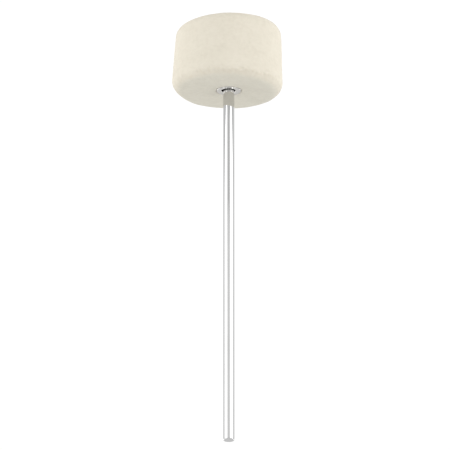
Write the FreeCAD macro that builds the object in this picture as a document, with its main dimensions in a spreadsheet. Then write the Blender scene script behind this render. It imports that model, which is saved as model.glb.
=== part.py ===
import FreeCAD, Part
import os
import re
import Sketcher

# A bass drum beater: a plated shaft that a pedal's clamp grips near its lower end, and a felt head held on
# the shaft's upper end. The origin is the clamped point on the shaft's axis, with +Z towards the head.

# Driving sizes, in millimetres and degrees.
SIZES = {
    # Shaft
    "shaft_diameter": 6.0,
    "exposed_length": 194.5,
    "clamp_height": 30.0,
    "tip_chamfer": 0.3,
    "spigot_diameter": 5.0,
    "spigot_proud": 1.2,
    "spigot_chamfer": 0.5,
    # Sleeve, with the plated ring that shows under the head
    "flange_diameter": 13.2,
    "flange_thickness": 1.4,
    "flange_proud": 0.2,
    "flange_bevel": 0.4,
    "mouth_diameter": 7.4,
    "mouth_depth": 2.4,
    "mouth_bevel": 0.4,
    "barrel_diameter": 9.0,
    "barrel_chamfer": 0.3,
    # Felt head
    "base_diameter": 59.2,
    "top_diameter": 55.2,
    "head_height": 36.4,
    "dish_diameter": 40.0,
    "dish_depth": 0.8,
    "base_rounding": 5.8,
    "top_rounding": 5.4,
    "pocket_depth": 9.0,
    "pocket_bevel": 1.2,
    "seat_bevel": 0.3,
    # Flat washer
    "washer_diameter": 15.0,
    "washer_thickness": 1.2,
    "washer_bevel": 0.3,
    # Split spring washer, closed flat
    "lock_diameter": 9.2,
    "lock_thickness": 1.2,
    "slit_width": 0.6,
    "slit_lean": 25.0,
    # Hexagon nut
    "nut_width": 8.0,
    "nut_height": 4.7,
    "nut_face_diameter": 7.6,
    "nut_chamfer_slope": 30.0,
    "nut_mouth_chamfer": 0.35,
    # Gaps all round at the fits
    "spigot_clearance": 0.05,
    "felt_clearance": 0.08,
    "pocket_clearance": 0.2,
    # How far a cut runs past what it cuts
    "overrun": 1.0,
}

# Sizes and places that follow from them. Places are heights in the part's frame.
DERIVED = {
    "bore_diameter": "spigot_diameter + 2 * spigot_clearance",
    "tip_z": "-clamp_height",
    "felt_z": "tip_z + exposed_length",
    "flange_z": "felt_z + dish_depth - flange_proud",
    "seat_floor": "dish_depth - flange_proud + flange_thickness",
    "washer_z": "felt_z + head_height - pocket_depth",
    "lock_z": "washer_z + washer_thickness",
    "nut_z": "lock_z + lock_thickness",
    "shoulder_height": "flange_z + mouth_depth - tip_z",
    "shaft_length": "nut_z + nut_height + spigot_proud - tip_z",
    "barrel_length": "washer_z - flange_z",
    "pocket_floor": "head_height - pocket_depth",
}

# Flats that the felt's upper rim is rounded off in.
TOP_RIM_FLATS = 3

doc = FreeCAD.newDocument("bass_drum_beater")
sheet = doc.addObject("Spreadsheet::Sheet", "Sizes")


def fill_sheet():
    cells = {name: str(value) for name, value in SIZES.items()}
    cells.update({name: "=" + formula for name, formula in DERIVED.items()})
    for row, (name, content) in enumerate(cells.items(), start=1):
        sheet.set(f"A{row}", name)
        sheet.set(f"B{row}", content)
        sheet.setAlias(f"B{row}", name)
    doc.recompute()


def size(formula):
    """A formula's value with the sheet's present sizes."""
    return float(sheet.evalExpression(formula))


def bound(formula):
    """The same formula for another object, with each size's name pointing at the sheet."""

    def point_at_sheet(word):
        name = word.group()
        return f"Sizes.{name}" if name in SIZES or name in DERIVED else name

    return re.sub(r"[a-z_]+", point_at_sheet, formula)


def new_body(label, height):
    """An empty body whose own zero lies at this height in the part's frame."""
    body = doc.addObject("PartDesign::Body", label)
    body.Label = label
    body.setExpression("Placement.Base.z", bound(height))
    return body


def sketch_on(body, name, role):
    sketch = body.newObject("Sketcher::SketchObject", name)
    plane = next(feature for feature in body.Origin.OriginFeatures if feature.Role == role)
    sketch.AttachmentSupport = (plane, [""])
    sketch.MapMode = "FlatFace"
    return sketch


def tie(sketch, kind, point, formula):
    """Hold a point's distance from the sketch's origin along one axis at a formula."""
    constraint = Sketcher.Constraint(kind, -1, 1, *point, size(formula))
    index = sketch.addConstraint(constraint)
    sketch.setExpression(f"Constraints[{index}]", bound(formula))


def outline(sketch, corners):
    """A closed outline through corners given as (across, up) formulas."""
    points = [FreeCAD.Vector(size(across), size(up), 0) for across, up in corners]
    ends = points[1:] + points[:1]
    lines = [sketch.addGeometry(Part.LineSegment(*pair)) for pair in zip(points, ends)]
    for line, following in zip(lines, lines[1:] + lines[:1]):
        sketch.addConstraint(Sketcher.Constraint("Coincident", line, 2, following, 1))
    for line, (across, up) in zip(lines, corners):
        tie(sketch, "DistanceX", (line, 1), across)
        tie(sketch, "DistanceY", (line, 1), up)


def circle(sketch, diameter):
    """A circle about the sketch's origin."""
    middle = FreeCAD.Vector(0, 0, 0)
    upright = FreeCAD.Vector(0, 0, 1)
    index = sketch.addGeometry(Part.Circle(middle, upright, size(diameter) / 2))
    sketch.addConstraint(Sketcher.Constraint("Coincident", index, 3, -1, 1))
    constraint = sketch.addConstraint(Sketcher.Constraint("Diameter", index, size(diameter)))
    sketch.setExpression(f"Constraints[{constraint}]", bound(diameter))


def turned(body, kind, name, corners):
    """A Revolution or Groove of an outline of (radius, height) corners about the body's axis."""
    sketch = sketch_on(body, name + "_outline", "XZ_Plane")
    outline(sketch, corners)
    turn = body.newObject(kind, name)
    turn.Profile = sketch
    turn.ReferenceAxis = (sketch, ["V_Axis"])
    doc.recompute()
    return turn


def padded(body, name, sketch, thickness):
    pad = body.newObject("PartDesign::Pad", name)
    pad.Profile = sketch
    pad.setExpression("Length", bound(thickness))
    doc.recompute()
    return pad


def edge_at(shape, radius, height):
    """The name of the round edge nearest to this radius and height."""

    def miss(number):
        curve = shape.Edges[number - 1].Curve
        return abs(curve.Radius - size(radius)) + abs(curve.Center.z - size(height))

    numbers = range(1, len(shape.Edges) + 1)
    round_ones = [n for n in numbers if isinstance(shape.Edges[n - 1].Curve, Part.Circle)]
    return f"Edge{min(round_ones, key=miss)}"


def rounded(body, base, name, places, radius):
    """A fillet on the round edges at (radius, height) places."""
    fillet = body.newObject("PartDesign::Fillet", name)
    fillet.Base = (base, [edge_at(base.Shape, *place) for place in places])
    fillet.setExpression("Radius", bound(radius))
    doc.recompute()
    return fillet


def bevelled(body, base, name, places, width):
    """A chamfer on the round edges at (radius, height) places."""
    chamfer = body.newObject("PartDesign::Chamfer", name)
    chamfer.Base = (base, [edge_at(base.Shape, *place) for place in places])
    chamfer.setExpression("Size", bound(width))
    doc.recompute()
    return chamfer


def make_shaft():
    """Rod with a bevelled lower end, a shoulder and a slimmer spigot, drawn at its thread's outside."""
    body = new_body("shaft", "tip_z")
    rod = "shaft_diameter / 2"
    spigot = "spigot_diameter / 2"
    corners = [
        ("0", "0"),
        (rod, "0"),
        (rod, "shoulder_height"),
        (spigot, "shoulder_height"),
        (spigot, "shaft_length"),
        ("0", "shaft_length"),
    ]
    turn = turned(body, "PartDesign::Revolution", "rod", corners)
    tip = bevelled(body, turn, "tip_bevel", [(rod, "0")], "tip_chamfer")
    bevelled(body, tip, "spigot_bevel", [(spigot, "shaft_length")], "spigot_chamfer")
    return body


def make_flanged_sleeve():
    """Flange with a wide bevelled mouth, a step that the shaft's shoulder meets, and a barrel up the felt."""
    body = new_body("flanged_sleeve", "flange_z")
    mouth = "mouth_diameter / 2"
    flange = "flange_diameter / 2"
    barrel = "barrel_diameter / 2"
    bore = "bore_diameter / 2"
    corners = [
        (mouth, "0"),
        (flange, "0"),
        (flange, "flange_thickness"),
        (barrel, "flange_thickness"),
        (barrel, "barrel_length"),
        (bore, "barrel_length"),
        (bore, "mouth_depth"),
        (mouth, "mouth_depth"),
    ]
    turn = turned(body, "PartDesign::Revolution", "bush", corners)
    rim = bevelled(body, turn, "flange_rim", [(flange, "0")], "flange_bevel")
    lip = bevelled(body, rim, "mouth_lip", [(mouth, "0")], "mouth_bevel")
    bevelled(body, lip, "barrel_bevel", [(barrel, "barrel_length")], "barrel_chamfer")
    return body


def make_felt_head():
    """Tapered felt drum with rounded rims, a base drawn in by the flange, a bore and a pocket for the nut."""
    body = new_body("felt_head", "felt_z")
    seat = "flange_diameter / 2 + felt_clearance"
    bore = "barrel_diameter / 2 + felt_clearance"
    pocket = "washer_diameter / 2 + pocket_clearance"
    base = "base_diameter / 2"
    top = "top_diameter / 2"
    turns = [90 * step / TOP_RIM_FLATS for step in range(TOP_RIM_FLATS + 1)]
    top_rim = [
        (f"{top} - top_rounding * (1 - cos({turn}))", f"head_height - top_rounding * (1 - sin({turn}))")
        for turn in turns
    ]
    corners = [
        (seat, "dish_depth"),
        ("dish_diameter / 2", "0"),
        (base, "0"),
        *top_rim,
        (pocket, "head_height"),
        (pocket, "pocket_floor"),
        (bore, "pocket_floor"),
        (bore, "seat_floor"),
        (seat, "seat_floor"),
    ]
    turn = turned(body, "PartDesign::Revolution", "drum", corners)
    base_rim = rounded(body, turn, "base_rim", [(base, "0")], "base_rounding")
    pocket_rim = bevelled(body, base_rim, "pocket_rim", [(pocket, "head_height")], "pocket_bevel")
    bevelled(body, pocket_rim, "seat_rim", [(seat, "dish_depth")], "seat_bevel")
    return body


def make_top_washer():
    """Wide stamped washer, bevelled on the side that the nut sits on."""
    body = new_body("top_washer", "washer_z")
    sketch = sketch_on(body, "washer_outline", "XY_Plane")
    circle(sketch, "washer_diameter")
    circle(sketch, "bore_diameter")
    blank = padded(body, "washer_blank", sketch, "washer_thickness")
    edge = ("washer_diameter / 2", "washer_thickness")
    bevelled(body, blank, "washer_edge", [edge], "washer_bevel")
    return body


def make_lock_washer():
    """Spring washer pressed flat, with its leaning slit."""
    body = new_body("lock_washer", "lock_z")
    sketch = sketch_on(body, "lock_outline", "XY_Plane")
    circle(sketch, "lock_diameter")
    circle(sketch, "bore_diameter")
    coil = padded(body, "lock_ring", sketch, "lock_thickness")
    lean = "(lock_thickness / 2 + overrun) * tan(slit_lean)"
    corners = [
        (f"-slit_width / 2 - {lean}", "-overrun"),
        (f"slit_width / 2 - {lean}", "-overrun"),
        (f"slit_width / 2 + {lean}", "lock_thickness + overrun"),
        (f"-slit_width / 2 + {lean}", "lock_thickness + overrun"),
    ]
    slit_sketch = sketch_on(body, "slit_outline", "XZ_Plane")
    outline(slit_sketch, corners)
    slit = body.newObject("PartDesign::Pocket", "slit")
    slit.Profile = slit_sketch
    slit.setExpression("Length", bound("lock_diameter / 2 + overrun"))
    doc.recompute()
    if slit.Shape.Volume >= coil.Shape.Volume:
        raise RuntimeError("the slit cuts nothing")
    return body


def make_top_nut():
    """Hexagon nut with turned-off corners and bevelled bore mouths."""
    body = new_body("top_nut", "nut_z")
    sketch = sketch_on(body, "nut_outline", "XY_Plane")
    corner = "nut_width / sqrt(3)"
    half_side = "nut_width / sqrt(12)"
    flat = "nut_width / 2"
    hexagon = [
        (corner, "0"),
        (half_side, flat),
        (f"-{half_side}", flat),
        (f"-{corner}", "0"),
        (f"-{half_side}", f"-{flat}"),
        (half_side, f"-{flat}"),
    ]
    outline(sketch, hexagon)
    circle(sketch, "bore_diameter")
    blank = padded(body, "nut_blank", sketch, "nut_height")
    face = "nut_face_diameter / 2"
    clear = f"{corner} + overrun"
    fall = f"({clear} - {face}) * tan(nut_chamfer_slope)"
    lower = [(face, "0"), (clear, "0"), (clear, fall)]
    upper = [(face, "nut_height"), (clear, "nut_height"), (clear, f"nut_height - {fall}")]
    turned(body, "PartDesign::Groove", "lower_corners", lower)
    corners = turned(body, "PartDesign::Groove", "upper_corners", upper)
    if corners.Shape.Volume >= blank.Shape.Volume:
        raise RuntimeError("the corner bevels cut nothing")
    mouths = [("bore_diameter / 2", "0"), ("bore_diameter / 2", "nut_height")]
    bevelled(body, corners, "bore_mouths", mouths, "nut_mouth_chamfer")
    return body


def check(bodies):
    failed = [o.Label for o in doc.Objects if {"Invalid", "Error"} & set(o.State)]
    if failed:
        raise RuntimeError(f"failed features: {failed}")
    for body in bodies:
        if body.Shape.isNull() or not body.Shape.isValid() or len(body.Shape.Solids) != 1:
            raise RuntimeError(f"{body.Label} is not one valid solid")


def write(bodies):
    os.makedirs("parts", exist_ok=True)
    for body in bodies:
        body.Shape.exportStep(f"parts/{body.Label}.step")
        box = body.Shape.BoundBox
        print(f"{body.Label}: {body.Shape.Volume:.1f} mm3, from z {box.ZMin:.2f} to {box.ZMax:.2f}")


fill_sheet()
made = [
    make_shaft(),
    make_flanged_sleeve(),
    make_felt_head(),
    make_top_washer(),
    make_lock_washer(),
    make_top_nut(),
]
doc.recompute()
check(made)
write(made)
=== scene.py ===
from math import atan2, ceil, cos, exp, pi, radians, sin, tan

import bpy
import numpy as np
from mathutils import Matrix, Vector, noise


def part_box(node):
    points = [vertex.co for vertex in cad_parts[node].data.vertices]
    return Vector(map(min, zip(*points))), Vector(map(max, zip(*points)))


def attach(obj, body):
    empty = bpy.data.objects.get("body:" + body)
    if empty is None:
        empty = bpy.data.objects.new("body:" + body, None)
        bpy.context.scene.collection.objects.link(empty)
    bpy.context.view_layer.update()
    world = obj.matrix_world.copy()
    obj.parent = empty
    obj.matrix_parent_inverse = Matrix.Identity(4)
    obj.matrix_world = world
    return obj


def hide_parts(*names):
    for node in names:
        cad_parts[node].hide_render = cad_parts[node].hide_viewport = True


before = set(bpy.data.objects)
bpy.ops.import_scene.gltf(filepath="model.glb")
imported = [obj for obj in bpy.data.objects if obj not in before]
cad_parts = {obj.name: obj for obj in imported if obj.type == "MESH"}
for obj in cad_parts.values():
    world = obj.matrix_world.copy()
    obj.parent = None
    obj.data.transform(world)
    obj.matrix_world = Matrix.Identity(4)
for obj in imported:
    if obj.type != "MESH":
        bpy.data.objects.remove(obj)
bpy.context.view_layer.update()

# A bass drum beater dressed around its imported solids, in metres and in the part's own frame: +Z runs up the
# shaft's axis to the felt head, and the photograph's camera stands on the -Y side, below the head.

MM = 0.001

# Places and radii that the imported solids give
shaft_low, shaft_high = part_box("shaft")
sleeve_low, sleeve_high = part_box("flanged_sleeve")
felt_low, felt_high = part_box("felt_head")
washer_low, washer_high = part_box("top_washer")
nut_low, nut_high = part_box("top_nut")
ROD_RADIUS = shaft_high.x
FLANGE_RADIUS = sleeve_high.x
NUT_CORNER_RADIUS = nut_high.x
TIP_Z = shaft_low.z
SPIGOT_END_Z = shaft_high.z
FLANGE_Z = sleeve_low.z
BARREL_END_Z = sleeve_high.z
FELT_Z = felt_low.z
FELT_TOP_Z = felt_high.z
WASHER_Z = washer_low.z
NUT_Z = nut_low.z
NUT_TOP_Z = nut_high.z

# Outlines: the fewest steps of an arc, the rounding of metal edges, and the strip that is held flat beside
# them on a run longer than so many strips
FEWEST_ARC_STEPS = 4
METAL_EDGE = 0.08 * MM
METAL_HOLD = 0.15 * MM
HOLDS_IN_RUN = 3
SHARP_EDGE = radians(35)

# Shaft and thread
SHAFT_COLUMNS = 96
CORE_RADIUS = 0.05 * MM
TIP_CHAMFER = 0.3 * MM
SPIGOT_RADIUS = 2.5 * MM
SPIGOT_CHAMFER = 0.5 * MM
THREAD_PITCH = 0.8 * MM
THREAD_RUN_OUT = THREAD_PITCH
THREAD_DEPTH = 0.49 * MM
THREAD_CREST_SHARE = 0.125
THREAD_ROOT_SHARE = 0.25
THREAD_GAP = 0.05 * MM
THREAD_ROW = 0.1 * MM

# Sleeve, whose mouth lies a little off the middle of a slightly dished flange
SLEEVE_COLUMNS = 128
FLANGE_THICKNESS = 1.4 * MM
MOUTH_RADIUS = 3.7 * MM
MOUTH_DEPTH = 2.4 * MM
BARREL_RADIUS = 4.5 * MM
BORE_RADIUS = 2.55 * MM
FLANGE_ROUNDING = 0.45 * MM
MOUTH_ROUNDING = 0.5 * MM
FACE_DISH = 0.1 * MM
MOUTH_SHIFT = np.array([-0.2, -0.3]) * MM

# Nut
NUT_COLUMNS = 192
NUT_FACE_RADIUS = 3.8 * MM
NUT_CHAMFER_SLOPE = radians(30)
NUT_MOUTH_CHAMFER = 0.35 * MM
NUT_SHARP_EDGE = radians(25)

# Felt drum, with its sharp-cornered radii and the roundings of its rims
FELT_COLUMNS = 400
FELT_SPACING = 0.43 * MM
HIDDEN_SPACING = 2.0 * MM
BASE_RADIUS = 29.7 * MM
BASE_ROUNDING = 6.1 * MM
TOP_RADIUS = 27.85 * MM
TOP_ROUNDING = 5.2 * MM
TOP_DROP = 0.38 * MM
DISH_RADIUS = 18.0 * MM
DISH_DEPTH = 0.8 * MM
DISH_ROUNDING = 80.0 * MM
SEAT_ROUNDING = 0.4 * MM
POCKET_GAP = 0.2 * MM
POCKET_RADIUS = washer_high.x + POCKET_GAP
POCKET_ROUNDING = 1.6 * MM
FELT_GAP = 0.1 * MM

# The felt's lean and the slope of its faces, which grow from the firm middle to the loose outside
BASE_LEAN = np.array([-0.82, -0.2]) * MM
TOP_LEAN = np.array([-0.12, 0.0]) * MM
BASE_SLOPE = np.array([-0.027, 0.008])
TOP_SLOPE = np.array([0.018, 0.0])
FIRM_RADIUS = 10 * MM
LOOSE_RADIUS = 22 * MM

# Relief of the felt's skin: how far each form stands out, and how large its lumps are
FELT_INSET = 0.02 * MM
RELIEF_START = 4 * MM
SLOW_RELIEF = 0.22 * MM
SLOW_SIZE = 17 * MM
LUMP_RELIEF = 0.09 * MM
LUMP_SIZE = 4.5 * MM
NAP_RELIEF = 0.05 * MM
NAP_SIZE = 1.7 * MM
LAYER_RELIEF = 0.03 * MM
LAYER_LENGTH = 14 * MM
LAYER_THICKNESS = 1.3 * MM
FRACTAL_FALL = 1
FRACTAL_STEP = 2
FRACTAL_OCTAVES = 2

# The ragged ridge of the base rim, which is worn most on the struck side
UNDERSIDE_RADIUS = 20 * MM
WALL_RADIUS = 26 * MM
RIDGE_HEIGHT = 3.3 * MM
RIDGE_REACH = 1.6 * MM
RIDGE_RELIEF = 0.16 * MM
RAG_RELIEF = 0.38 * MM
RAG_WIDTH = 2.2 * MM
RAG_HEIGHT = 3 * MM
STRUCK_Y = -27.0 * MM
STRUCK_FAR_Y = 0.0
SPARED_SHARE = 0.35

# A swelling of the base rim at its back left
SWELL = 0.36 * MM
SWELL_TURN = radians(132)
SWELL_SPREAD = radians(18)
SWELL_REACH = 9.0 * MM


def run_points(start, end, spacing, hold):
    """Points within a straight run: divided at this spacing, or two that hold a long run's ends flat."""
    length = np.linalg.norm(end - start)
    pieces = ceil(length / spacing)
    if pieces > 1:
        shares = np.arange(1, pieces) / pieces
    elif length > HOLDS_IN_RUN * hold > 0:
        shares = np.array([hold, length - hold]) / length
    else:
        shares = np.array([])
    return [start + (end - start) * share for share in shares]


def rounded_outline(corners, closed, hold=0.0):
    """Points along an outline of (radius, height, rounding, spacing) corners: an arc at each rounded corner,
    and the straight run after each corner divided at that corner's spacing."""
    places = [np.array(corner[:2]) for corner in corners]
    count = len(corners)
    arcs = []
    for index, (_, _, rounding, spacing) in enumerate(corners):
        corner = places[index]
        ends = not closed and index in (0, count - 1)
        if ends or rounding == 0:
            arcs.append([corner])
            continue
        to_last = places[index - 1] - corner
        to_next = places[(index + 1) % count] - corner
        to_last /= np.linalg.norm(to_last)
        to_next /= np.linalg.norm(to_next)
        half_angle = np.arccos(np.dot(to_last, to_next)) / 2
        middle = to_last + to_next
        centre = corner + middle / np.linalg.norm(middle) * rounding / np.sin(half_angle)
        reach = rounding / np.tan(half_angle)
        first = corner + to_last * reach - centre
        last = corner + to_next * reach - centre
        start = atan2(first[1], first[0])
        turn = (atan2(last[1], last[0]) - start + pi) % (2 * pi) - pi
        steps = max(FEWEST_ARC_STEPS, ceil(abs(turn) * rounding / spacing))
        angles = [start + turn * step / steps for step in range(steps + 1)]
        arcs.append([centre + rounding * np.array([cos(angle), sin(angle)]) for angle in angles])
    points = []
    for index, arc in enumerate(arcs):
        points += arc
        if index == count - 1 and not closed:
            break
        points += run_points(arc[-1], arcs[(index + 1) % count][0], corners[index][3], hold)
    return np.array(points)


def column_angles(columns):
    """The angles of so many columns round the axis."""
    return np.arange(columns) * 2 * pi / columns


def spun(outline, columns):
    """The outline's points turned about the axis, as rows by columns of places."""
    angles = column_angles(columns)
    radii, heights = outline[:, :1], outline[:, 1:]
    across = radii * np.cos(angles)
    along = radii * np.sin(angles)
    return np.stack([across, along, np.broadcast_to(heights, across.shape)], axis=-1)


def grid_mesh(name, places, closed):
    """A mesh on rows by columns of places. Its columns go round the axis, and its rows meet again or end in
    caps."""
    rows, columns = places.shape[:2]
    row_pairs = [(row, (row + 1) % rows) for row in range(rows if closed else rows - 1)]
    faces = []
    for row, following in row_pairs:
        for column in range(columns):
            beside = (column + 1) % columns
            faces.append((
                row * columns + column,
                row * columns + beside,
                following * columns + beside,
                following * columns + column,
            ))
    if not closed:
        faces.append(tuple(reversed(range(columns))))
        faces.append(tuple(range((rows - 1) * columns, rows * columns)))
    mesh = bpy.data.meshes.new(name)
    mesh.from_pydata(places.reshape(-1, 3).tolist(), [], faces)
    mesh.shade_smooth()
    piece = bpy.data.objects.new(name, mesh)
    bpy.context.scene.collection.objects.link(piece)
    return piece


def keep_edges(piece, angle):
    """Split the shading at edges sharper than this angle."""
    piece.data.set_sharp_from_angle(angle=angle)


def dress(piece, body, slot, material, *nodes):
    """Give the piece its material and its body, and hide the solids that it stands for. The slot is not used.
    """
    piece.data.materials.clear()
    piece.data.materials.append(material)
    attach(piece, body)
    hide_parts(*nodes)


def thread_fall(heights, angles):
    """How far a thread's flank has fallen, from 0 at its crest to 1 at its root."""
    phase = (heights / THREAD_PITCH - angles / (2 * pi)) % 1
    away = np.abs(phase - 0.5) * 2
    return np.clip((away - THREAD_CREST_SHARE) / (1 - THREAD_CREST_SHARE - THREAD_ROOT_SHARE), 0, 1)


def set_radius(places, radii):
    """Move places straight out from the axis to these radii."""
    now = np.hypot(places[..., 0], places[..., 1])
    places[..., 0] *= radii / now
    places[..., 1] *= radii / now


def make_shaft(material):
    """The rod with its chamfered tip, its shoulder inside the sleeve and a threaded spigot above."""
    shoulder_z = FLANGE_Z + MOUTH_DEPTH
    long_run = SPIGOT_END_Z - TIP_Z
    outline = rounded_outline([
        (CORE_RADIUS, TIP_Z, 0, long_run),
        (ROD_RADIUS - TIP_CHAMFER, TIP_Z, METAL_EDGE, long_run),
        (ROD_RADIUS, TIP_Z + TIP_CHAMFER, METAL_EDGE, long_run),
        (ROD_RADIUS, shoulder_z, METAL_EDGE, long_run),
        (SPIGOT_RADIUS, shoulder_z, 0, THREAD_ROW),
        (SPIGOT_RADIUS, SPIGOT_END_Z - SPIGOT_CHAMFER, 0, THREAD_ROW),
        (SPIGOT_RADIUS - SPIGOT_CHAMFER, SPIGOT_END_Z, 0, long_run),
        (CORE_RADIUS, SPIGOT_END_Z, 0, long_run),
    ], closed=False, hold=METAL_HOLD)
    places = spun(outline, SHAFT_COLUMNS)
    above_shoulder = outline[:, 1] > shoulder_z + METAL_EDGE
    on_spigot = outline[:, 0] > SPIGOT_RADIUS - SPIGOT_CHAMFER - METAL_EDGE
    rows = np.where(above_shoulder & on_spigot)[0]
    heights = outline[rows, 1:]
    growth = np.clip((heights - shoulder_z) / THREAD_RUN_OUT, 0, 1)
    fall = thread_fall(heights, column_angles(SHAFT_COLUMNS)[None, :])
    cut = SPIGOT_RADIUS - THREAD_DEPTH * growth * fall
    threaded = places[rows]
    set_radius(threaded, np.minimum(cut, outline[rows, :1]))
    places[rows] = threaded
    piece = grid_mesh("threaded_shaft", places, closed=False)
    keep_edges(piece, SHARP_EDGE)
    dress(piece, "stick", "plated_steel", material, "shaft")


def make_sleeve(material):
    """The flange that shows under the felt, its mouth round the shaft and the barrel in the felt's bore."""
    long_run = BARREL_END_Z - FLANGE_Z
    flange_top_z = FLANGE_Z + FLANGE_THICKNESS
    outline = rounded_outline([
        (MOUTH_RADIUS, FLANGE_Z + FACE_DISH, MOUTH_ROUNDING, METAL_EDGE),
        (FLANGE_RADIUS, FLANGE_Z, FLANGE_ROUNDING, METAL_EDGE),
        (FLANGE_RADIUS, flange_top_z, METAL_EDGE, long_run),
        (BARREL_RADIUS, flange_top_z, 0, long_run),
        (BARREL_RADIUS, BARREL_END_Z, METAL_EDGE, long_run),
        (BORE_RADIUS, BARREL_END_Z, METAL_EDGE, long_run),
        (BORE_RADIUS, FLANGE_Z + MOUTH_DEPTH, METAL_EDGE, long_run),
        (MOUTH_RADIUS, FLANGE_Z + MOUTH_DEPTH, 0, long_run),
    ], closed=True, hold=METAL_HOLD)
    places = spun(outline, SLEEVE_COLUMNS)
    on_mouth = (outline[:, 0] < MOUTH_RADIUS + MOUTH_ROUNDING) & (outline[:, 1] < FLANGE_Z + MOUTH_DEPTH / 2)
    places[on_mouth, :, :2] += MOUTH_SHIFT
    piece = grid_mesh("plated_sleeve", places, closed=True)
    keep_edges(piece, SHARP_EDGE)
    dress(piece, "stick", "plated_steel", material, "flanged_sleeve")


def make_nut(material):
    """A hexagon nut with chamfered corners and a threaded hole."""
    angles = column_angles(NUT_COLUMNS)
    half_side = pi / 6
    from_flat = np.abs((angles + half_side) % (2 * half_side) - half_side)
    hexagon = NUT_CORNER_RADIUS * cos(half_side) / np.cos(half_side - from_flat)
    drop = (hexagon - NUT_FACE_RADIUS) * tan(NUT_CHAMFER_SLOPE)
    thread_rows = ceil((NUT_TOP_Z - NUT_Z) / THREAD_ROW)
    heights = np.linspace(NUT_TOP_Z, NUT_Z, thread_rows + 1)[:, None]
    thread = SPIGOT_RADIUS + THREAD_GAP - THREAD_DEPTH * thread_fall(heights, angles[None, :])
    from_face = np.minimum(heights - NUT_Z, NUT_TOP_Z - heights)
    inside = np.maximum(thread, SPIGOT_RADIUS + NUT_MOUTH_CHAMFER - from_face)
    steady = np.ones(NUT_COLUMNS)
    rows = [
        (NUT_FACE_RADIUS * steady, NUT_Z * steady),
        (hexagon, NUT_Z + drop),
        (hexagon, NUT_TOP_Z - drop),
        (NUT_FACE_RADIUS * steady, NUT_TOP_Z * steady),
    ]
    rows += [(radii, height * steady) for radii, height in zip(inside, heights)]
    places = np.stack([
        np.stack([radii * np.cos(angles), radii * np.sin(angles), height], axis=-1) for radii, height in rows
    ])
    piece = grid_mesh("threaded_nut", places, closed=True)
    keep_edges(piece, NUT_SHARP_EDGE)
    dress(piece, "stick", "zinc_steel", material, "top_nut")


def smooth_step(low, high, value):
    """0 at low and 1 at high, with a soft start and end."""
    share = min(max((value - low) / (high - low), 0), 1)
    return share * share * (3 - 2 * share)


def in_grains(place, width, height):
    """The place counted in grains of this width and height."""
    return Vector((place.x / width, place.y / width, place.z / height))


def fractal(place):
    """Noise in grains of one unit and of finer ones."""
    return noise.fractal(place, FRACTAL_FALL, FRACTAL_STEP, FRACTAL_OCTAVES)


def felt_relief(place, radius):
    """How far the felt's skin stands out at a place: slow unevenness, soft lumps and nap, and on the wall
    its layers, the ragged base rim and the swelling."""
    slow = SLOW_RELIEF * noise.noise(place / SLOW_SIZE)
    lumps = LUMP_RELIEF * noise.noise(place / LUMP_SIZE)
    nap = NAP_RELIEF * fractal(place / NAP_SIZE)
    layers = LAYER_RELIEF * noise.noise(in_grains(place, LAYER_LENGTH, LAYER_THICKNESS))
    rags = RAG_RELIEF * fractal(in_grains(place, RAG_WIDTH, RAG_HEIGHT))
    on_ridge = smooth_step(RIDGE_REACH, 0, abs(place.z - FELT_Z - RIDGE_HEIGHT))
    struck = SPARED_SHARE + (1 - SPARED_SHARE) * smooth_step(STRUCK_FAR_Y, STRUCK_Y, place.y)
    ridge = on_ridge * struck * (RIDGE_RELIEF + rags)
    off_swell = (atan2(place.y, place.x) - SWELL_TURN) / SWELL_SPREAD
    swell = SWELL * exp(-off_swell * off_swell) * smooth_step(FELT_Z + SWELL_REACH, FELT_Z, place.z)
    on_wall = smooth_step(UNDERSIDE_RADIUS, WALL_RADIUS, radius)
    return slow + lumps + nap + on_wall * (layers + ridge + swell)


def make_felt(material):
    """The felt drum with its dished underside, the flange's seat, the bore and the nut's pocket."""
    seat_radius = FLANGE_RADIUS + FELT_GAP
    seat_z = FLANGE_Z + FLANGE_THICKNESS
    bore_radius = BARREL_RADIUS + FELT_GAP
    outline = rounded_outline([
        (seat_radius, FELT_Z + DISH_DEPTH, SEAT_ROUNDING, FELT_SPACING),
        (DISH_RADIUS, FELT_Z, DISH_ROUNDING, FELT_SPACING),
        (BASE_RADIUS, FELT_Z, BASE_ROUNDING, FELT_SPACING),
        (TOP_RADIUS, FELT_TOP_Z - TOP_DROP, TOP_ROUNDING, FELT_SPACING),
        (POCKET_RADIUS, FELT_TOP_Z - TOP_DROP, POCKET_ROUNDING, FELT_SPACING),
        (POCKET_RADIUS, WASHER_Z, 0, FELT_SPACING),
        (bore_radius, WASHER_Z, 0, HIDDEN_SPACING),
        (bore_radius, seat_z, 0, HIDDEN_SPACING),
        (seat_radius, seat_z, 0, FELT_SPACING),
    ], closed=True)
    places = spun(outline, FELT_COLUMNS)
    along = np.roll(outline, -1, axis=0) - np.roll(outline, 1, axis=0)
    along /= np.linalg.norm(along, axis=1, keepdims=True)
    normals = spun(np.stack([along[:, 1], -along[:, 0]], axis=1), FELT_COLUMNS)
    for row, (radius, row_z) in enumerate(outline):
        free = smooth_step(POCKET_RADIUS, POCKET_RADIUS + RELIEF_START, radius)
        for column in range(FELT_COLUMNS):
            relief = free * (felt_relief(Vector(places[row, column]), radius) - FELT_INSET)
            places[row, column] += relief * normals[row, column]
        share = (row_z - FELT_Z) / (FELT_TOP_Z - FELT_Z)
        loose = smooth_step(FIRM_RADIUS, LOOSE_RADIUS, radius)
        slope = loose * (BASE_SLOPE + (TOP_SLOPE - BASE_SLOPE) * share)
        lean = loose * (BASE_LEAN + (TOP_LEAN - BASE_LEAN) * share)
        places[row, :, 2] += places[row, :, :2] @ slope
        places[row, :, :2] += lean
    piece = grid_mesh("felt_drum", places, closed=True)
    dress(piece, "head", "felt", material, "felt_head")


# Materials. Most of a noise lies between the low and the high value.

NOISE_LOW = 0.3
NOISE_HIGH = 0.7


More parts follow.
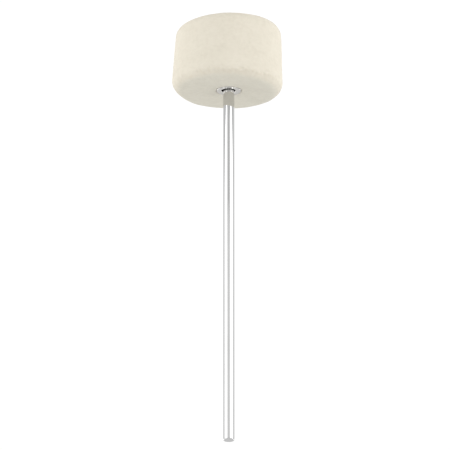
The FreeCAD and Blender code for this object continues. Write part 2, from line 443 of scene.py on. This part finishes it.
def node(tree, kind, inputs=None, **settings):
    """A new node with these settings, whose inputs are given as values or as other nodes' outputs."""
    made = tree.nodes.new(kind)
    for name, value in settings.items():
        setattr(made, name, value)
    for name, value in (inputs or {}).items():
        if isinstance(value, bpy.types.NodeSocket):
            tree.links.new(value, made.inputs[name])
        else:
            made.inputs[name].default_value = value
    return made


def new_material(name):
    """A new material, with its nodes, its shader and its object coordinates."""
    material = bpy.data.materials.new(name)
    material.use_nodes = True
    tree = material.node_tree
    coordinates = node(tree, "ShaderNodeTexCoord").outputs["Object"]
    return material, tree, tree.nodes["Principled BSDF"], coordinates


def split(tree, vector):
    """The vector's parts along X, Y and Z."""
    return node(tree, "ShaderNodeSeparateXYZ", {"Vector": vector}).outputs


def computed(tree, operation, *values, **settings):
    """The result of a mathematical operation on one or more values."""
    inputs = dict(enumerate(values))
    return node(tree, "ShaderNodeMath", inputs, operation=operation, **settings).outputs["Value"]


def weighed(tree, parts):
    """The sum of (factor, weight) parts."""
    total = 0.0
    for factor, weight in parts:
        total = computed(tree, "MULTIPLY_ADD", factor, weight, total)
    return total


def mapped(tree, factor, limits, results=(0.0, 1.0), interpolation="LINEAR"):
    """The factor's range between these limits brought to these results, and kept within them."""
    inputs = {
        "Value": factor,
        "From Min": limits[0],
        "From Max": limits[1],
        "To Min": results[0],
        "To Max": results[1],
    }
    return node(tree, "ShaderNodeMapRange", inputs, interpolation_type=interpolation).outputs["Result"]


def spread(tree, factor, results):
    """A noise brought to these results."""
    return mapped(tree, factor, (NOISE_LOW, NOISE_HIGH), results)


def grain(tree, coordinates, sizes, detail=2.0, distortion=0.0):
    """Noise between 0 and 1 whose grains have these sizes along X, Y and Z."""
    scaled = node(tree, "ShaderNodeMapping", {"Vector": coordinates, "Scale": [1 / size for size in sizes]})
    inputs = {"Vector": scaled.outputs["Vector"], "Scale": 1.0, "Detail": detail, "Distortion": distortion}
    return node(tree, "ShaderNodeTexNoise", inputs).outputs["Fac"]


def ramp(tree, factor, colours):
    """These colours, spread evenly over a noise."""
    made = node(tree, "ShaderNodeValToRGB", {"Fac": factor})
    elements = made.color_ramp.elements
    places = np.linspace(NOISE_LOW, NOISE_HIGH, len(colours))
    while len(elements) < len(colours):
        elements.new(NOISE_HIGH)
    for element, place, colour in zip(elements, places, colours):
        element.position = place
        element.color = (*colour, 1.0)
    return made.outputs["Color"]


def mixed(tree, factor, first, second):
    """The first colour, blended into the second as the factor goes from 0 to 1."""
    made = node(tree, "ShaderNodeMix", data_type="RGBA")
    sockets = {socket.identifier: socket for socket in made.inputs}
    tree.links.new(factor, sockets["Factor_Float"])
    tree.links.new(first, sockets["A_Color"])
    tree.links.new(second, sockets["B_Color"])
    return [socket for socket in made.outputs if socket.identifier == "Result_Color"][0]


def roughen(tree, shader, height, strength, distance):
    """Let the light fall on the surface as if it had this fine relief."""
    inputs = {"Height": height, "Strength": strength, "Distance": distance}
    bump = node(tree, "ShaderNodeBump", inputs)
    tree.links.new(bump.outputs["Normal"], shader.inputs["Normal"])


# Plating: bright chrome on the shaft, warmer nickel on the flange, and darker bare steel inside the joint,
# which at the flange's mouth is also painted shade
CHROME_TINTS = (0.68, 0.68, 0.68), (0.72, 0.72, 0.72)
CHROME_ROUGHNESS = 0.005, 0.03
NICKEL_TINTS = (0.69, 0.672, 0.638), (0.73, 0.712, 0.676)
NICKEL_ROUGHNESS = 0.04, 0.1
NICKEL_REACH = 0.03 * MM
NICKEL_END_AND_SHADE_Z = FLANGE_Z + FACE_DISH + NICKEL_REACH
BARE_AND_SHADE_TINTS = (0.32, 0.315, 0.305), (0.42, 0.415, 0.405)
PLATING_FADE = 0.3 * MM
HAZE_SIZES = 9 * MM, 9 * MM, 16 * MM
RING_SIZE = 0.06 * MM
RING_LIMITS = 0.5, 0.68
RING_ROUGHNESS = 0.0, 0.03
RING_RELIEF = {"strength": 0.01, "distance": 0.02 * MM}


def plated_steel(name, tints, roughness, bare_and_shade_z):
    """Bright plating on turned steel: very faint rings left by turning, and a soft haze of handling. Above
    the plating's end lies the inside of a joint, which the plating hardly reaches; its darker bare tone,
    which begins at the edge of the flange's mouth, is also painted shade in the gap round the shaft."""
    material, tree, shader, coordinates = new_material(name)
    axes = split(tree, coordinates)
    across = node(tree, "ShaderNodeCombineXYZ", {"X": axes["X"], "Y": axes["Y"]}).outputs["Vector"]
    radius = node(tree, "ShaderNodeVectorMath", {0: across}, operation="LENGTH").outputs["Value"]
    along = computed(tree, "ADD", axes["Z"], radius)
    rings = node(tree, "ShaderNodeTexNoise", {
        "W": along, "Scale": 1 / RING_SIZE, "Detail": 1.0,
    }, noise_dimensions="1D").outputs["Fac"]
    dull = mapped(tree, rings, RING_LIMITS, RING_ROUGHNESS)
    haze = grain(tree, coordinates, HAZE_SIZES, detail=4.0)
    finish = computed(tree, "ADD", spread(tree, haze, roughness), dull)
    tree.links.new(finish, shader.inputs["Roughness"])
    # Above this height the tone turns to darker bare steel; on the flange it starts at the mouth's edge and
    # paints the shade in the gap round the shaft
    inside = mapped(tree, axes["Z"], (bare_and_shade_z, bare_and_shade_z + PLATING_FADE))
    tone = mixed(tree, inside, ramp(tree, haze, tints), ramp(tree, haze, BARE_AND_SHADE_TINTS))
    tree.links.new(tone, shader.inputs["Base Color"])
    roughen(tree, shader, rings, **RING_RELIEF)
    shader.inputs["Metallic"].default_value = 1.0
    return material


# Zinc on the nut and both washers
ZINC_TINTS = (0.58, 0.60, 0.63), (0.72, 0.72, 0.71)
ZINC_ROUGHNESS = 0.24, 0.42
ZINC_PATCH = 2.2 * MM
ZINC_PATCH_SHARE = 0.4
CRYSTAL = 0.25 * MM
CRYSTAL_SHARE = 0.6
CRYSTAL_RELIEF = {"strength": 0.15, "distance": 0.05 * MM}


def zinc_steel():
    """Satin zinc on small hardware: a patchy bluish grey with a fine crystalline grain."""
    material, tree, shader, coordinates = new_material("zinc_steel")
    patches = grain(tree, coordinates, [ZINC_PATCH] * 3, detail=3.0)
    crystals = grain(tree, coordinates, [CRYSTAL] * 3, detail=4.0)
    tree.links.new(ramp(tree, patches, ZINC_TINTS), shader.inputs["Base Color"])
    finish = weighed(tree, [(patches, ZINC_PATCH_SHARE), (crystals, CRYSTAL_SHARE)])
    tree.links.new(spread(tree, finish, ZINC_ROUGHNESS), shader.inputs["Roughness"])
    roughen(tree, shader, crystals, **CRYSTAL_RELIEF)
    shader.inputs["Metallic"].default_value = 1.0
    return material


# Felt
# The wall's tones, then the underside's lighter and greyer copy of them, which is painted light
WALL_TONES = (0.656, 0.61, 0.512), (0.709, 0.663, 0.562), (0.74, 0.696, 0.596)
PAINTED_LIGHT_BASE_TONES = (0.67, 0.638, 0.546), (0.728, 0.696, 0.60), (0.764, 0.737, 0.638)
WORN_AND_SHADE_TONES = (0.56, 0.49, 0.36), (0.70, 0.63, 0.50)
CLOUD_SIZES = 18 * MM, 18 * MM, 12 * MM
CLOUD_SHARE = 0.25
STREAK_SIZES = 7 * MM, 7 * MM, 2.2 * MM
STREAK_SHARE = 0.2
MOTTLE_SIZES = 2.0 * MM, 2.0 * MM, 1.6 * MM
MOTTLE_SHARE = 0.35
FIBRE_SIZES = 0.5 * MM, 0.5 * MM, 0.3 * MM
FIBRE_SHARE = 0.2
MOTTLE_BUMP_SHARE = 0.5
FIBRE_BUMP_SHARE = 0.5
FELT_BUMP = {"strength": 0.5, "distance": 0.15 * MM}
FELT_SHEEN = {"Roughness": 0.95, "Specular IOR Level": 0.15, "Sheen Weight": 0.04, "Sheen Roughness": 0.6}

# Where the underside's painted light, a lighter and greyer copy of the wall's tones, gives way to the wall's
# tones, as limits of the normal's Z
PAINTED_LIGHT_TO_WALL = -0.97, -0.8

# The browned rim: its place, how much of its darker brown tone it takes at most, and its spots. The brown
# spots along the rim are partly wear and partly painted shade of its fuzzy fibres, most on the struck side.
WORN_AND_SHADE_HEIGHT = 2.1 * MM
WORN_AND_SHADE_REACH = 2.2 * MM
WORN_AND_SHADE_SHARE = 0.3
SPOT_SIZES = 1.9 * MM, 1.9 * MM, 1.5 * MM
SPOT_SHARES = -0.5, 1.0


def felt():
    """Pressed wool: cream with slow clouds, flat streaks, mottling and matted fibres. The underside takes a
    lighter, greyer copy of the tones as painted light, and the base rim has brown spots, partly wear and
    partly painted shade."""
    material, tree, shader, coordinates = new_material("felt")
    clouds = grain(tree, coordinates, CLOUD_SIZES)
    streaks = grain(tree, coordinates, STREAK_SIZES, detail=3.0)
    mottle = grain(tree, coordinates, MOTTLE_SIZES, detail=3.0)
    fibres = grain(tree, coordinates, FIBRE_SIZES, detail=4.0, distortion=2.0)
    spots = grain(tree, coordinates, SPOT_SIZES)
    shades = weighed(tree, [
        (clouds, CLOUD_SHARE), (streaks, STREAK_SHARE), (mottle, MOTTLE_SHARE), (fibres, FIBRE_SHARE),
    ])
    facing = split(tree, coordinates.node.outputs["Normal"])["Z"]
    # The underside, which faces down, takes its own lighter and greyer tones: painted light
    on_wall = mapped(tree, facing, PAINTED_LIGHT_TO_WALL)
    clean_tone_with_painted_light = mixed(tree, on_wall, ramp(tree, shades, PAINTED_LIGHT_BASE_TONES), ramp(tree, shades, WALL_TONES))
    axes = split(tree, coordinates)
    # Brown spots along the base rim, most on the struck side: partly wear, partly painted shade of the rim's
    # fuzzy fibres
    from_ridge = computed(tree, "SUBTRACT", axes["Z"], FELT_Z + WORN_AND_SHADE_HEIGHT)
    distance = computed(tree, "ABSOLUTE", from_ridge)
    on_ridge = mapped(tree, distance, (0.0, WORN_AND_SHADE_REACH), (WORN_AND_SHADE_SHARE, 0.0), "SMOOTHSTEP")
    struck = mapped(tree, axes["Y"], (STRUCK_Y, STRUCK_FAR_Y), (1.0, SPARED_SHARE), "SMOOTHSTEP")
    on_struck = computed(tree, "MULTIPLY", on_ridge, struck)
    worn_and_shade = computed(tree, "MULTIPLY", on_struck, spread(tree, spots, SPOT_SHARES), use_clamp=True)
    tone = mixed(tree, worn_and_shade, clean_tone_with_painted_light, ramp(tree, mottle, WORN_AND_SHADE_TONES))
    tree.links.new(tone, shader.inputs["Base Color"])
    relief = weighed(tree, [(mottle, MOTTLE_BUMP_SHARE), (fibres, FIBRE_BUMP_SHARE)])
    roughen(tree, shader, relief, **FELT_BUMP)
    for socket, value in FELT_SHEEN.items():
        shader.inputs[socket].default_value = value
    return material


# Studio. A light's turns are in degrees from the camera's side, with its right as plus, and its heights are
# those of its lower and upper edges.

CAMERA_DISTANCE = 4.0
CAMERA_ELEVATION = radians(-20)
CAMERA_AIM = Vector((-2.0 * MM, 0, 89.65 * MM))
CAMERA_SIGHT = 100.0
SENSOR_WIDTH = 36.0
LENS = 606.9

# Two softboxes close by, which make the shaft's bright stripes, and a dim fill between them
SOFTBOX_DISTANCE = 0.36
SOFTBOX_HEIGHTS = 0.08, 0.295
SOFTBOX_RADIANCE = 1.48
SOFTBOX_TURN = 45
LEFT_SOFTBOX_SPAN = -90, -32
RIGHT_SOFTBOX_SPAN = 24, 92
FILL_DISTANCE = 1.0
FILL_HEIGHTS = 0.3, 0.468
FILL_RADIANCE = 0.18
FILL_TURN = -4
FILL_SPAN = -32, 24

# Strips that the metal shows in views from other sides and heights, and one that makes the flange's glint
BACK_STRIP_DISTANCE = 6.0
BACK_STRIP_TURNS = -140, -106, 135
BACK_STRIP_HEIGHTS = -4.0, 1.8
BACK_STRIP_RADIANCE = 1.2
STRIP_DISTANCE = 1.5
STRIP_HALF_SPAN = 10
FRONT_STRIP_TURNS = -51, 65
FRONT_STRIP_HEIGHTS = -1.0, 0.35
FRONT_STRIP_RADIANCE = 1.0
HIGH_STRIP_TURNS = -61, 57
HIGH_STRIP_HALF_SPAN = 12
HIGH_STRIP_HEIGHTS = 0.75, 1.35
HIGH_STRIP_RADIANCE = 1.3
RIGHT_STRIP_TURN = 86
RIGHT_STRIP_HALF_SPAN = 4
RIGHT_STRIP_HEIGHTS = -0.45, 0.05
RIGHT_STRIP_RADIANCE = 5.5

# The room's grey from front to back and what it gains overhead, with their limits along a direction's Y and Z
ROOM_GREYS = 0.64, 0.85
ROOM_DEPTHS = -0.2, 0.8
OVERHEAD_GREYS = 0.0, 0.2
OVERHEAD_HEIGHTS = 0.45, 0.85
BACKDROP_STRENGTH = 1.04
WHITE = 1.0, 1.0, 1.0, 1.0

FLOOR_Z = -8.5
FLOOR_HALF_WIDTH = 80.0
FLOOR_PATCH = 0.6
FLOOR_TONES = (0.86, 0.86, 0.86), (0.90, 0.90, 0.90)
FLOOR_ROUGHNESS = 0.8


def make_camera():
    """The photograph's camera, far away and looking up from below the head."""
    data = bpy.data.cameras.new("camera")
    data.sensor_width = SENSOR_WIDTH
    data.lens = LENS
    data.clip_end = CAMERA_SIGHT
    camera = bpy.data.objects.new("camera", data)
    back = Vector((0, -cos(CAMERA_ELEVATION), sin(CAMERA_ELEVATION)))
    camera.location = CAMERA_AIM + CAMERA_DISTANCE * back
    camera.rotation_euler = (-back).to_track_quat("-Z", "Y").to_euler()
    bpy.context.scene.collection.objects.link(camera)
    bpy.context.scene.camera = camera


def make_softbox(name, distance, turn, span, heights, radiance):
    """An upright white panel that faces the object from one turn and spans between two others."""
    data = bpy.data.lights.new(name, "AREA")
    facing = radians(turn)
    start, end = [distance * tan(radians(edge) - facing) for edge in span]
    low, high = heights
    data.shape = "RECTANGLE"
    data.size = end - start
    data.size_y = high - low
    data.energy = radiance * pi * data.size * data.size_y
    light = bpy.data.objects.new(name, data)
    away = Vector((sin(facing), -cos(facing), 0))
    across = Vector((cos(facing), sin(facing), 0))
    light.location = distance * away + (start + end) / 2 * across + Vector((0, 0, (low + high) / 2))
    light.rotation_euler = (-away).to_track_quat("-Z", "Y").to_euler()
    light.visible_camera = False
    bpy.context.scene.collection.objects.link(light)


def make_strip(name, distance, turn, half_span, heights, radiance):
    """A panel that spans as far to either side of the turn that it faces from."""
    make_softbox(name, distance, turn, (turn - half_span, turn + half_span), heights, radiance)


def make_lights():
    """The softboxes, the fill and the strips."""
    for name, turn, span in (
        ("left_softbox", -SOFTBOX_TURN, LEFT_SOFTBOX_SPAN),
        ("right_softbox", SOFTBOX_TURN, RIGHT_SOFTBOX_SPAN),
    ):
        make_softbox(name, SOFTBOX_DISTANCE, turn, span, SOFTBOX_HEIGHTS, SOFTBOX_RADIANCE)
    make_softbox("front_fill", FILL_DISTANCE, FILL_TURN, FILL_SPAN, FILL_HEIGHTS, FILL_RADIANCE)
    for turn in BACK_STRIP_TURNS:
        make_strip("back_strip", BACK_STRIP_DISTANCE, turn, STRIP_HALF_SPAN,
                   BACK_STRIP_HEIGHTS, BACK_STRIP_RADIANCE)
    for turn in FRONT_STRIP_TURNS:
        make_strip("front_strip", STRIP_DISTANCE, turn, STRIP_HALF_SPAN,
                   FRONT_STRIP_HEIGHTS, FRONT_STRIP_RADIANCE)
    for turn in HIGH_STRIP_TURNS:
        make_strip("high_strip", STRIP_DISTANCE, turn, HIGH_STRIP_HALF_SPAN,
                   HIGH_STRIP_HEIGHTS, HIGH_STRIP_RADIANCE)
    make_strip("right_strip", STRIP_DISTANCE, RIGHT_STRIP_TURN, RIGHT_STRIP_HALF_SPAN,
               RIGHT_STRIP_HEIGHTS, RIGHT_STRIP_RADIANCE)


def make_world():
    """Plain white behind the object, and a soft grey room, lighter behind the object and overhead."""
    world = bpy.data.worlds.new("studio")
    bpy.context.scene.world = world
    world.use_nodes = True
    tree = world.node_tree
    tree.nodes.clear()
    axes = split(tree, node(tree, "ShaderNodeTexCoord").outputs["Generated"])
    around = mapped(tree, axes["Y"], ROOM_DEPTHS, ROOM_GREYS, "SMOOTHSTEP")
    overhead = mapped(tree, axes["Z"], OVERHEAD_HEIGHTS, OVERHEAD_GREYS, "SMOOTHSTEP")
    glow = computed(tree, "ADD", around, overhead)
    room = node(tree, "ShaderNodeBackground", {"Color": WHITE, "Strength": glow})
    backdrop = node(tree, "ShaderNodeBackground", {"Color": WHITE, "Strength": BACKDROP_STRENGTH})
    seen = node(tree, "ShaderNodeLightPath").outputs["Is Camera Ray"]
    either = node(tree, "ShaderNodeMixShader", {
        0: seen,
        1: room.outputs["Background"],
        2: backdrop.outputs["Background"],
    })
    node(tree, "ShaderNodeOutputWorld", {"Surface": either.outputs["Shader"]})


def make_floor():
    """A wide pale floor, far enough below for the camera to stand under the head and look up."""
    ways = (-1, -1), (1, -1), (1, 1), (-1, 1)
    corners = [(x * FLOOR_HALF_WIDTH, y * FLOOR_HALF_WIDTH, FLOOR_Z) for x, y in ways]
    mesh = bpy.data.meshes.new("floor")
    mesh.from_pydata(corners, [], [(0, 1, 2, 3)])
    floor = bpy.data.objects.new("floor", mesh)
    bpy.context.scene.collection.objects.link(floor)
    material, tree, shader, coordinates = new_material("pale_floor")
    patches = grain(tree, coordinates, [FLOOR_PATCH] * 3)
    tree.links.new(ramp(tree, patches, FLOOR_TONES), shader.inputs["Base Color"])
    shader.inputs["Roughness"].default_value = FLOOR_ROUGHNESS
    mesh.materials.append(material)


zinc = zinc_steel()
make_shaft(plated_steel("plated_shaft", CHROME_TINTS, CHROME_ROUGHNESS, SPIGOT_END_Z))
make_sleeve(plated_steel("plated_flange", NICKEL_TINTS, NICKEL_ROUGHNESS, NICKEL_END_AND_SHADE_Z))
make_nut(zinc)
make_felt(felt())
for washer in ("top_washer", "lock_washer"):
    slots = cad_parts[washer].data.materials
    slots.clear()
    slots.append(zinc)

make_camera()
make_world()
make_floor()
make_lights()
bpy.context.scene.view_settings.view_transform = "Standard"
